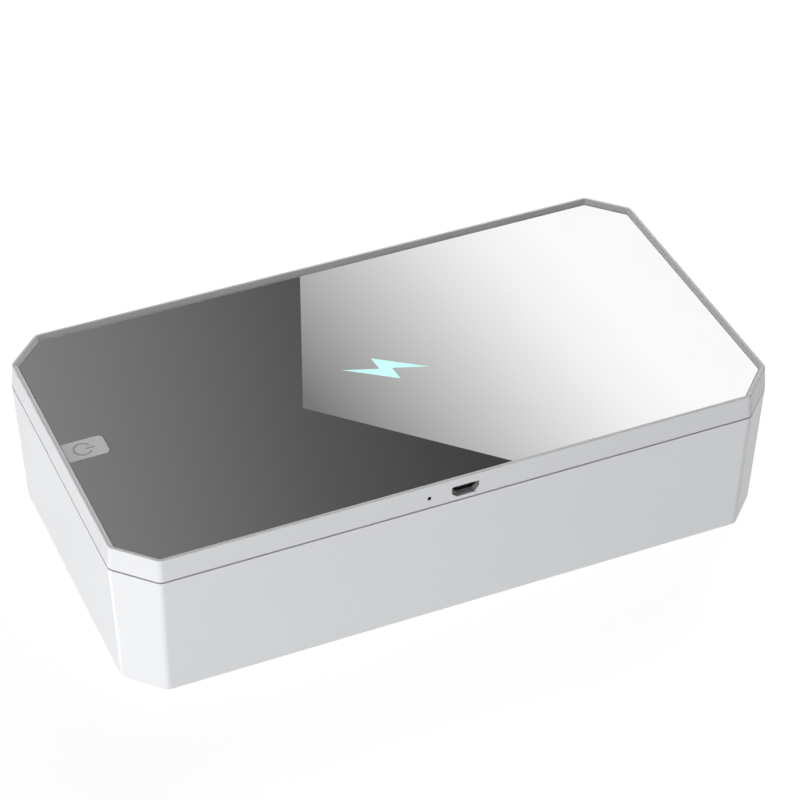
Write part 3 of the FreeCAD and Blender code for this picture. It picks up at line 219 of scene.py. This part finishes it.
# %% Softboxes
SOFTBOXES = (  # name, direction from the box, distance m, width m, height m, power W, what it lights
    ("left_front", (-0.71, -0.70, -0.10), 1.6, 0.9, 0.38, 12.2, "matt and gloss"),
    ("left_end", (-0.92, -0.10, 0.30), 1.8, 1.0, 0.6, 8.0, "matt"),
    ("front_high", (-0.45, -0.80, 0.40), 1.8, 1.0, 0.8, 4.8, "matt"),
    ("back_right", (0.50, 0.60, 0.63), 1.8, 1.2, 1.0, 21.5, "matt"),
    ("edge_strip", (-0.717, 0.283, -0.638), 1.4, 0.3, 0.3, 1.6, "gloss"),
)
box_middle = (cad_box[0] + cad_box[1]) / 2
for name, direction, distance, width, tall, power, lights in SOFTBOXES:
    lamp = bpy.data.lights.new(f"softbox_{name}", "AREA")
    lamp.shape = "RECTANGLE"
    lamp.size, lamp.size_y, lamp.energy = width, tall, power
    softbox = bpy.data.objects.new(f"softbox_{name}", lamp)
    away = Vector(direction).normalized()
    softbox.location = box_middle + away * distance
    softbox.rotation_euler = (-away).to_track_quat("-Z", "Y").to_euler()
    softbox.visible_camera = False
    softbox.visible_glossy = "gloss" in lights
    softbox.visible_diffuse = "matt" in lights
    bpy.context.scene.collection.objects.link(softbox)
print(len(SOFTBOXES), "softboxes:", [row[0] for row in SOFTBOXES])

# %% [markdown]
# ## The studio: what the mirror sees
# A mirror has no colour of its own, so its picture is built behind the camera's
# back. Seen in the lid, the camera sits as far below the mirror as it really
# is above, and its rays run on past the box to a plane in the air. On that
# plane one pixel of the picture is always the same size, so cards can be cut
# in pixels. A dark flag fills the left and front of the lid, and a white
# reflector with a bent edge fills the rest. They show in reflections only.

# %% Plane of the reflection cards
CARD_REACH = 2.6  # m from the mirrored camera
CARD_GLOW = 1.1
mirror_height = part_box("mirror_panel")[1].z
mirrored = Matrix.Diagonal((1, 1, -1))
mirrored_place = mirrored @ camera_place + Vector((0, 0, 2 * mirror_height))
mirrored_line = mirrored @ view_line
across, upright, _ = (mirrored @ axis for axis in camera.rotation_euler.to_matrix().col)
pixel = CARD_REACH * SENSOR / LENS / PICTURE
card_frame = Matrix((across * pixel, -upright * pixel, mirrored_line * pixel)).transposed().to_4x4()
card_frame.translation = mirrored_place + mirrored_line * CARD_REACH
print("one pixel on the card plane is", round(pixel / MM, 3), "mm")


def reflection_card(name, corners, slant, stops):
    """A glowing card with its corners at these pixels of the mirror, shaded along a slanted line."""
    mesh = bpy.data.meshes.new(name)
    half = PICTURE / 2
    mesh.from_pydata([(x - half, y - half, 0) for x, y in corners], [], [range(len(corners))])
    card = bpy.data.objects.new(name, mesh)
    card.matrix_world = card_frame
    bpy.context.scene.collection.objects.link(card)
    card.visible_camera = card.visible_diffuse = card.visible_transmission = False
    card.visible_shadow = False
    paint = bpy.data.materials.new(f"{name} paint")
    paint.use_nodes = True
    tree = paint.node_tree
    tree.nodes.clear()
    place = add_node(tree, "TexCoord")
    along = add_node(tree, "VectorMath", {"operation": "DOT_PRODUCT", 1: (*slant, 0)},
                     {0: place.outputs["Object"]})
    share = add_node(tree, "MapRange",
                     {"From Min": stops[0][0], "From Max": stops[-1][0]},
                     {"Value": along.outputs["Value"]})
    shade = add_node(tree, "ValToRGB", {}, {0: share.outputs[0]})
    elements = shade.color_ramp.elements
    while len(elements) < len(stops):
        elements.new(0.5)
    span = stops[-1][0] - stops[0][0]
    for element, (mark, grey) in zip(elements, stops):
        element.position = (mark - stops[0][0]) / span
        element.color = linear("#" + 3 * f"{grey:02X}")
    glow = add_node(tree, "Emission", {"Strength": CARD_GLOW}, {"Color": shade.outputs[0]})
    add_node(tree, "OutputMaterial", {}, {"Surface": glow.outputs[0]})
    mesh.materials.append(paint)
    return card


# %% Dark flag and white reflector
EDGE_TOP, BEND, EDGE_END = (296, 100), (303, 408), (860, 548)  # pixels along the edge between the two
FLAG_REST = ((860, 720), (-60, 720), (-60, 100))  # its other corners, outside the lid
FLAG_SLANT, FLAG_SHADE = (1.0, -0.23), ((-400, 130), (-100, 88), (20, 71), (200, 50))
REFLECTOR_REST = ((860, 100),)
REFLECTOR_SLANT = (0.75, -0.66)
REFLECTOR_SHADE = ((-70, 121), (110, 224), (165, 243), (220, 252), (300, 251))  # pixels and greys
flag = reflection_card("dark_flag", (EDGE_TOP, BEND, EDGE_END, *FLAG_REST), FLAG_SLANT, FLAG_SHADE)
reflector = reflection_card("white_reflector", (EDGE_END, BEND, EDGE_TOP, *REFLECTOR_REST),
                            REFLECTOR_SLANT, REFLECTOR_SHADE)
print("cards:", flag.name, reflector.name)

# %% [markdown]
# ## Moulded and cast finishes
# Most of the pieces are moulded plastic, rubber, ceramic or cast epoxy. What
# the eye sees of them is alike: two near colours in soft patches, a fine grain
# from the mould, and a shine that wanders a little with the patches. One
# function builds that from sizes in millimetres, and each material gives its
# own colours, sizes and shine. Values that are the same all over are set on
# the shader itself, which keeps them in an exported model.

# %% A function for moulded finishes
def moulded(name, colours, patch_mm, grain_mm, depth_mm, shine, **sockets):
    """A moulded surface with patches and grain of these sizes. Shine is the lowest and highest roughness."""
    material = bpy.data.materials.new(name)
    material.use_nodes = True
    tree = material.node_tree
    shader = tree.nodes["Principled BSDF"]
    place = add_node(tree, "TexCoord")
    patches = add_node(tree, "TexNoise", {"Scale": 1 / (patch_mm * MM), "Detail": 3.0},
                       {"Vector": place.outputs["Object"]})
    grain = add_node(tree, "TexNoise", {"Scale": 1 / (grain_mm * MM), "Detail": 2.0},
                     {"Vector": place.outputs["Object"]})
    colour = add_node(tree, "Mix", {"data_type": "RGBA", 6: linear(colours[0]), 7: linear(colours[1])},
                      {0: patches.outputs["Fac"]})
    rough = add_node(tree, "MapRange", {"To Min": shine[0], "To Max": shine[1]},
                     {"Value": patches.outputs["Fac"]})
    relief = add_node(tree, "Bump", {"Distance": depth_mm * MM}, {"Height": grain.outputs["Fac"]})
    tree.links.new(colour.outputs[2], shader.inputs["Base Color"])
    tree.links.new(rough.outputs[0], shader.inputs["Roughness"])
    tree.links.new(relief.outputs[0], shader.inputs["Normal"])
    for socket, value in sockets.items():
        shader.inputs[socket.replace("_", " ").title().replace("Ior", "IOR")].default_value = value
    return material


# %% [markdown]
# ### White ABS
# The two shells are ABS, moulded in a tool with a satin, spark-eroded skin. The
# eye gets an even cool white with a broad, soft shine and no sparkle. The real
# grain is about 0.1 mm, finer than a pixel, so it is drawn at 0.6 mm and very
# shallow. The lid's inner cover and the key are the same plastic from other
# tools, one a little greyer and one with a finer, matter skin.

# %% ABS materials
satin_abs = moulded("satin white ABS", ("#EFF0F2", "#EBECEE"), 40, 0.6, 0.0015, (0.26, 0.32),
                    ior=1.54, specular_ior_level=0.32)
cover_abs = moulded("plain white ABS", ("#EBECED", "#E6E7E8"), 30, 0.6, 0.004, (0.44, 0.52), ior=1.54)
key_abs = moulded("fine matt ABS", ("#ECEDEE", "#E8E9EA"), 10, 0.4, 0.003, (0.5, 0.58), ior=1.54)
# The symbol's grey is painted shade. It stands for the shading of the key's engraved groove, and the groove
# itself is the key's own white.
groove_shade_grey = moulded("grey painted groove shade", ("#C0C2C4", "#B6B8BA"), 1.5, 0.3, 0.002, (0.55, 0.65), ior=1.5)
print("shells and key:", [m.name for m in (satin_abs, cover_abs, key_abs, groove_shade_grey)])

# %% [markdown]
# ### Rubber, silicone, tape and wire skin
# The feet are black moulded rubber with a dusty bloom. The seal is pale
# silicone, which is smoother and a little greasy. The tape under the mirror is
# black acrylic foam with open pores. The key's lead has a smooth PVC skin.

# %% Soft polymers
foot_rubber = moulded("black moulded rubber", ("#2A2A2C", "#38383A"), 4, 0.5, 0.02, (0.68, 0.85), ior=1.52)
seal_silicone = moulded("pale grey silicone", ("#C6C8CA", "#BCBEC1"), 8, 0.8, 0.01, (0.42, 0.55), ior=1.41)
foam_tape = moulded("black acrylic foam", ("#131314", "#1F1F21"), 2, 0.4, 0.05, (0.8, 0.95), ior=1.47)
lead_skin = moulded("white PVC", ("#DDDDDD", "#D2D2D3"), 6, 0.5, 0.005, (0.35, 0.48), ior=1.53)
print("soft polymers:", [m.name for m in (foot_rubber, seal_silicone, foam_tape, lead_skin)])

# %% [markdown]
# ### Parts of the electronics
# Chips are black epoxy with a fine, laser-ready matt skin. The switch and the
# tongue of the socket are black nylon, smoother than the epoxy. The ferrite is
# a sintered plate with pale specks. The bolt's lamp has a yellow phosphor
# filling, and the germicidal lamps have bodies of cream alumina.

# %% Electronics materials
chip_epoxy = moulded("black moulded epoxy", ("#1A1A1C", "#242426"), 1.2, 0.15, 0.006, (0.55, 0.7), ior=1.55)
black_nylon = moulded("black nylon", ("#141415", "#1D1D1E"), 2, 0.25, 0.004, (0.38, 0.5), ior=1.53)
ferrite = moulded("sintered ferrite", ("#2E2E31", "#4A4A4D"), 0.8, 0.2, 0.01, (0.55, 0.75), ior=2.2)
phosphor = moulded("phosphor in white resin", ("#F4EDCB", "#EADB9C"), 1.0, 0.2, 0.006, (0.3, 0.42), ior=1.5)
alumina = moulded("cream alumina", ("#E9E6DA", "#DDD8C8"), 1.5, 0.2, 0.006, (0.4, 0.55), ior=1.76)
print("electronics:", [m.name for m in (chip_epoxy, black_nylon, ferrite, phosphor, alumina)])

# %% [markdown]
# ## Metals
# A metal has no colour under its shine, so the shader's Metallic is 1 and its
# IOR is left alone. What tells one metal part from another is how its surface
# was made: plating leaves cloudy patches, and grinding or drawing leaves fine
# lines along one direction. Stretching the noise along that direction gives
# the lines, and equal stretch gives the clouds.

# %% A function for metal finishes
def metal(name, colours, marks_mm, depth_mm, shine, **sockets):
    """A metal surface whose marks have these sizes along X, Y and Z."""
    material = bpy.data.materials.new(name)
    material.use_nodes = True
    tree = material.node_tree
    shader = tree.nodes["Principled BSDF"]
    place = add_node(tree, "TexCoord")
    stretched = add_node(tree, "Mapping", {"Scale": [1 / (size * MM) for size in marks_mm]},
                         {"Vector": place.outputs["Object"]})
    marks = add_node(tree, "TexNoise", {"Scale": 1.0, "Detail": 3.0},
                     {"Vector": stretched.outputs[0]})
    colour = add_node(tree, "Mix", {"data_type": "RGBA", 6: linear(colours[0]), 7: linear(colours[1])},
                      {0: marks.outputs["Fac"]})
    rough = add_node(tree, "MapRange", {"To Min": shine[0], "To Max": shine[1]},
                     {"Value": marks.outputs["Fac"]})
    relief = add_node(tree, "Bump", {"Distance": depth_mm * MM}, {"Height": marks.outputs["Fac"]})
    tree.links.new(colour.outputs[2], shader.inputs["Base Color"])
    tree.links.new(rough.outputs[0], shader.inputs["Roughness"])
    tree.links.new(relief.outputs[0], shader.inputs["Normal"])
    shader.inputs["Metallic"].default_value = 1.0
    for socket, value in sockets.items():
        shader.inputs[socket.replace("_", " ").title()].default_value = value
    return material


# %% Metal materials
nickel = metal("nickel plating", ("#D3CFC8", "#C4BFB6"), (1.5, 1.5, 1.5), 0.002, (0.16, 0.3))
zinc = metal("zinc-plated steel", ("#C2C5CA", "#ABAEB2"), (0.8, 0.8, 0.8), 0.003, (0.26, 0.42))
ground_steel = metal("ground steel", ("#C0C1C3", "#A9AAAC"), (0.12, 2.0, 2.0), 0.002, (0.2, 0.34))
# The socket shell's grey is darker than tin-plated steel is. That extra darkness is painted shade for the
# port's dim mouth, while the marks and roughness belong to the plate itself.
shaded_tin_plate = metal("tin-plated steel with painted shade", ("#8A8B8D", "#78797B"), (1.2, 4.0, 1.2), 0.002, (0.38, 0.52))
gold_plate = metal("gold plating", ("#E0BC62", "#CFA648"), (0.6, 0.6, 0.6), 0.001, (0.16, 0.3))
coil_wire = metal("enamelled copper", ("#C27A45", "#A85F30"), (0.3, 0.3, 0.3), 0.004, (0.24, 0.4),
                  coat_weight=0.6, coat_roughness=0.1)
tray_film = metal("vacuum-metallised film", ("#DADCDE", "#CFD1D4"), (6.0, 6.0, 6.0), 0.02, (0.14, 0.24))
print("metals:", [m.name for m in (nickel, zinc, ground_steel, shaded_tin_plate, gold_plate, coil_wire, tray_film)])

# %% [markdown]
# ## The mirror
# The lid's sheet is silvered and polished, so almost all of what it shows is
# the studio. A perfect mirror looks drawn, though. A thin, uneven film of wiped
# dust makes parts of it a touch softer, and the silver is a touch duller in
# places. Both are drawn at the size of a hand's wipe, about 25 mm.

# %% Silvered sheet
WIPE_MM, FILM = 25, 0.008  # the film's highest roughness
silvered = bpy.data.materials.new("silvered mirror sheet")
silvered.use_nodes = True
tree = silvered.node_tree
shader = tree.nodes["Principled BSDF"]
place = add_node(tree, "TexCoord")
wipes = add_node(tree, "TexNoise", {"Scale": 1 / (WIPE_MM * MM), "Detail": 4.0},
                 {"Vector": place.outputs["Object"]})
silver = add_node(tree, "Mix", {"data_type": "RGBA", 6: linear("#F4F4F4"), 7: linear("#F1F1F1")},
                  {0: wipes.outputs["Fac"]})
film = add_node(tree, "MapRange", {"To Min": 0.0, "To Max": FILM}, {"Value": wipes.outputs["Fac"]})
tree.links.new(silver.outputs[2], shader.inputs["Base Color"])
tree.links.new(film.outputs[0], shader.inputs["Roughness"])
shader.inputs["Metallic"].default_value = 1.0
print("mirror film up to roughness", FILM)

# %% [markdown]
# ## The lit bolt
# The bolt is a window of milky acrylic with a lamp under it, and it glows pale
# cyan. Milky plastic spreads the lamp's light well but not perfectly, so the
# glow falls off a little towards the tips. A spherical gradient around the
# lamp, 22 mm in radius, gives that. Emission is what makes it look lit in a
# bright studio, and the base colour keeps it cyan when other light falls on it.

# %% Milky acrylic
GLOW_MM, GLOW = 22, 0.68  # how far the lamp's light spreads, and its strength
lamp_low, lamp_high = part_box("bolt_led")
lamp_spot = (lamp_low + lamp_high) / 2
milky = bpy.data.materials.new("milky cyan acrylic, lit")
milky.use_nodes = True
tree = milky.node_tree
shader = tree.nodes["Principled BSDF"]
place = add_node(tree, "TexCoord")
round_lamp = add_node(tree, "Mapping", {"vector_type": "TEXTURE", "Location": lamp_spot,
                                        "Scale": [GLOW_MM * MM] * 3},
                      {"Vector": place.outputs["Object"]})
spread = add_node(tree, "TexGradient", {"gradient_type": "SPHERICAL"},
                  {"Vector": round_lamp.outputs[0]})
glow = add_node(tree, "Mix", {"data_type": "RGBA", 6: linear("#AADEDA"), 7: linear("#BDF0EB")},
                {0: spread.outputs["Fac"]})
tree.links.new(glow.outputs[2], shader.inputs["Emission Color"])
tree.links.new(glow.outputs[2], shader.inputs["Base Color"])
shader.inputs["Emission Strength"].default_value = GLOW
shader.inputs["Roughness"].default_value = 0.3
shader.inputs["IOR"].default_value = 1.49
print("bolt lamp under", [round(c / MM, 1) for c in lamp_spot], "mm")

# %% [markdown]
# ## Clear and smoked parts
# The windows in front of the germicidal lamps are polished quartz, because
# glass would stop that light. Quartz is clear with a low IOR, and only a faint
# polish haze shows that something is there. The pipe behind the pinhole is
# smoked acrylic, which looks black until its lamp is on.

# %% Quartz and smoked acrylic
POLISH_MM, HAZE = 3, 0.04  # the haze's highest roughness
quartz = bpy.data.materials.new("polished quartz")
quartz.use_nodes = True
tree = quartz.node_tree
shader = tree.nodes["Principled BSDF"]
place = add_node(tree, "TexCoord")
polish = add_node(tree, "TexNoise", {"Scale": 1 / (POLISH_MM * MM)}, {"Vector": place.outputs["Object"]})
colour = add_node(tree, "Mix", {"data_type": "RGBA", 6: linear("#F4F7FC"), 7: linear("#EEF3FA")},
                  {0: polish.outputs["Fac"]})
rough = add_node(tree, "MapRange", {"To Min": 0.0, "To Max": HAZE}, {"Value": polish.outputs["Fac"]})
tree.links.new(colour.outputs[2], shader.inputs["Base Color"])
tree.links.new(rough.outputs[0], shader.inputs["Roughness"])
shader.inputs["IOR"].default_value = 1.458
shader.inputs["Transmission Weight"].default_value = 1.0
smoked = moulded("smoked acrylic", ("#030304", "#060607"), 1, 0.2, 0.001, (0.3, 0.4),
                 ior=1.49, specular_ior_level=0.05)
print("clear and smoked:", quartz.name, "and", smoked.name)

# %% [markdown]
# ## The circuit boards
# The boards are woven glass in resin, with copper tracks under a green varnish.
# Tracks show as paler lines, and round plated holes shine through. A brick
# pattern gives the tracks, because its joints are lines of one width that turn
# at right angles, and Voronoi cells give the holes.

# %% Varnished board
TRACK_MM, TRACK_GAP_MM, TRACK_STEP_MM = 0.35, 2.4, 0.03
HOLE_MM, HOLE_GAP_MM = 0.7, 3.5
board_varnish = bpy.data.materials.new("green varnished glass board")
board_varnish.use_nodes = True
tree = board_varnish.node_tree
shader = tree.nodes["Principled BSDF"]
place = add_node(tree, "TexCoord")
tracks = add_node(tree, "TexBrick",
                  {"Color1": linear("#0F5A33"), "Color2": linear("#126238"), "Mortar": linear("#2C8A57"),
                   "Scale": 1 / (TRACK_GAP_MM * MM), "Mortar Size": TRACK_MM / TRACK_GAP_MM / 2,
                   "Brick Width": 2.5, "Row Height": 0.5},
                  {"Vector": place.outputs["Object"]})
holes = add_node(tree, "TexVoronoi", {"Scale": 1 / (HOLE_GAP_MM * MM), "Randomness": 0.8},
                 {"Vector": place.outputs["Object"]})
ring = add_node(tree, "Math", {"operation": "LESS_THAN", 1: HOLE_MM / HOLE_GAP_MM / 2},
                {0: holes.outputs["Distance"]})
face = add_node(tree, "Mix", {"data_type": "RGBA", 7: linear("#C9CBCD")},
                {0: ring.outputs[0], 6: tracks.outputs["Color"]})
step = add_node(tree, "Bump", {"Distance": TRACK_STEP_MM * MM}, {"Height": tracks.outputs["Fac"]})
tree.links.new(face.outputs[2], shader.inputs["Base Color"])
tree.links.new(ring.outputs[0], shader.inputs["Metallic"])
tree.links.new(step.outputs[0], shader.inputs["Normal"])
shader.inputs["Roughness"].default_value = 0.35
print("tracks every", TRACK_GAP_MM, "mm")

# %% [markdown]
# ## Dressing the CAD nodes
# Every node of the frame keeps its shape and gets the finish of the real part.
# Its mesh already sits in place, so a material only has to go into its first
# slot. A list by material reads like a maker's parts list, and a check at the
# end makes sure that no node was missed.

# %% Parts list by finish
PARTS_BY_FINISH = {
    satin_abs: ("base_shell", "lid_frame"),
    cover_abs: ("lid_inner_cover",),
    key_abs: ("power_key",),
    foot_rubber: ("rubber_feet",),
    seal_silicone: ("rim_seal",),
    foam_tape: ("mirror_tape",),
    lead_skin: ("key_lead",),
    chip_epoxy: ("board_chips", "hall_sensor"),
    black_nylon: ("usb_tongue", "tact_switch", "switch_plunger"),
    ferrite: ("ferrite_plate",),
    phosphor: ("bolt_led", "status_led"),
    alumina: ("uv_leds",),
    nickel: ("base_magnets", "interlock_magnet", "lid_magnets"),
    zinc: ("tray_screws", "cover_screws", "board_screws", "key_board_screws", "uv_board_screws"),
    ground_steel: ("hinge_pin_left", "hinge_pin_right"),
    shaded_tin_plate: ("usb_shell",),
    gold_plate: ("usb_contacts", "board_link_pins"),
    coil_wire: ("charge_coil",),
    tray_film: ("inner_tray",),
    silvered: ("mirror_panel",),
    milky: ("bolt_light_guide",),
    quartz: ("uv_windows",),
    smoked: ("status_light_pipe",),
    board_varnish: ("main_board", "key_board", "uv_board_front", "uv_board_rear"),
}
bare = set(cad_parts)
for finish, names in PARTS_BY_FINISH.items():
    for name in names:
        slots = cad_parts[name].data.materials
        slots.clear()
        slots.append(finish)
        bare.discard(name)
print("nodes without a finish:", sorted(bare))

# %% [markdown]
# ## The power symbol and its painted shade
# The key's symbol is a shallow groove, filled almost to the top with a grey sheet. The grey is painted
# shade: it stands for the shading of the engraved groove, which is the key's own white. The groove is in the
# CAD, and the sheet lies on its floor, made here as flat faces that are then given a thickness. An open ring
# is a strip of quads between two arcs, and the bar is one more quad. The sheet rides on the key, so it sinks
# with it.

# %% Painted shade in the groove
RING_X, RING_RADIUS, LINE, OPENING = -101.6, 2.75, 0.64, 28.8  # mm and degrees
BAR_FROM, BAR_TO = -100.77, -97.73  # mm
GROOVE, UNDER_SHADE, SHADE_THICK = 0.15, 0.004, 0.12  # mm
STEPS = 48
# The grey sheet's top lies just under the key's face, so the groove casts no shading of its own. Its grey is
# painted shade in place of that shading.
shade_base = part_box("power_key")[1].z + (UNDER_SHADE - GROOVE) * MM
shade_mesh = bmesh.new()
strip = []
for step in range(STEPS + 1):
    angle = math.radians(OPENING + (360 - 2 * OPENING) * step / STEPS)
    strip.append([shade_mesh.verts.new(((RING_X + radius * math.cos(angle)) * MM,
                                      radius * math.sin(angle) * MM, shade_base))
                  for radius in (RING_RADIUS - LINE / 2, RING_RADIUS + LINE / 2)])
for (a, b), (c, d) in zip(strip, strip[1:]):
    shade_mesh.faces.new((a, b, d, c))
bar = [(BAR_FROM, -LINE / 2), (BAR_TO, -LINE / 2), (BAR_TO, LINE / 2), (BAR_FROM, LINE / 2)]
shade_mesh.faces.new([shade_mesh.verts.new((x * MM, y * MM, shade_base)) for x, y in bar])
lifted = bmesh.ops.extrude_face_region(shade_mesh, geom=shade_mesh.faces[:])["geom"]
bmesh.ops.translate(shade_mesh, vec=(0, 0, SHADE_THICK * MM),
                    verts=[v for v in lifted if isinstance(v, bmesh.types.BMVert)])
bmesh.ops.recalc_face_normals(shade_mesh, faces=shade_mesh.faces[:])
shade_data = bpy.data.meshes.new("power_symbol_shade")
shade_mesh.to_mesh(shade_data)
shade_mesh.free()
shade_data.materials.append(groove_shade_grey)
power_shade = bpy.data.objects.new("power_symbol_shade", shade_data)
bpy.context.scene.collection.objects.link(power_shade)
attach(power_shade, "key")
print("groove shade faces:", len(shade_data.polygons))

# %% [markdown]
# ## Dies of the germicidal lamps
# Seen through the quartz with the lid open, each lamp is a cream square with a
# plated pad and a small violet die on it. They are thin layers, so each is a
# low bevelled tile, repeated at the eight lamps. Their places come from the
# lamps' own box: four along the box and two across.

# %% Plated pads and dies
sapphire = moulded("violet sapphire die", ("#5B4A8C", "#7361A8"), 0.3, 0.1, 0.002, (0.12, 0.22), ior=1.77)
lamps_low, lamps_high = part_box("uv_leds")
LAMPS_ALONG, LAMP_HALF = 4, 1.75 * MM
BEVEL, STRAIGHT = 0.12, 0.7  # shares of a tile's half side and of its thickness
lamp_step = (lamps_high.x - lamps_low.x - 2 * LAMP_HALF) / (LAMPS_ALONG - 1)
row_x = [lamps_low.x + LAMP_HALF + lamp_step * i for i in range(LAMPS_ALONG)]
row_y = [lamps_low.y + LAMP_HALF, lamps_high.y - LAMP_HALF]


def lamp_tiles(name, half_mm, top, thick_mm, material):
    """A bevelled square tile under each lamp, hanging down from top."""
    tiles = bmesh.new()
    half, edge = half_mm * MM, BEVEL * half_mm * MM
    for x in row_x:
        for y in row_y:
            rims = []
            for inset, drop in ((0, 0), (0, STRAIGHT), (edge, 1.0)):
                reach = half - inset
                rims.append([tiles.verts.new((x + sx * reach, y + sy * reach, top - drop * thick_mm * MM))
                             for sx, sy in ((-1, -1), (1, -1), (1, 1), (-1, 1))])
            tiles.faces.new(rims[0])
            tiles.faces.new(rims[-1])
            for upper, lower in zip(rims, rims[1:]):
                for i in range(4):
                    tiles.faces.new((upper[i], upper[i - 1], lower[i - 1], lower[i]))
    bmesh.ops.recalc_face_normals(tiles, faces=tiles.faces[:])
    data = bpy.data.meshes.new(name)
    tiles.to_mesh(data)
    tiles.free()
    data.materials.append(material)
    piece = bpy.data.objects.new(name, data)
    bpy.context.scene.collection.objects.link(piece)
    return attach(piece, "lid")


PAD_HALF_MM, PAD_THICK_MM = 1.3, 0.06
DIE_HALF_MM, DIE_THICK_MM = 0.5, 0.15
lamp_face = lamps_low.z
lamp_pads = lamp_tiles("uv_lamp_pads", PAD_HALF_MM, lamp_face, PAD_THICK_MM, gold_plate)
lamp_tiles("uv_lamp_dies", DIE_HALF_MM, lamp_face - PAD_THICK_MM * MM, DIE_THICK_MM, sapphire)
print("lamps at x", [round(x / MM, 1) for x in row_x], "and y", [round(y / MM, 1) for y in row_y])
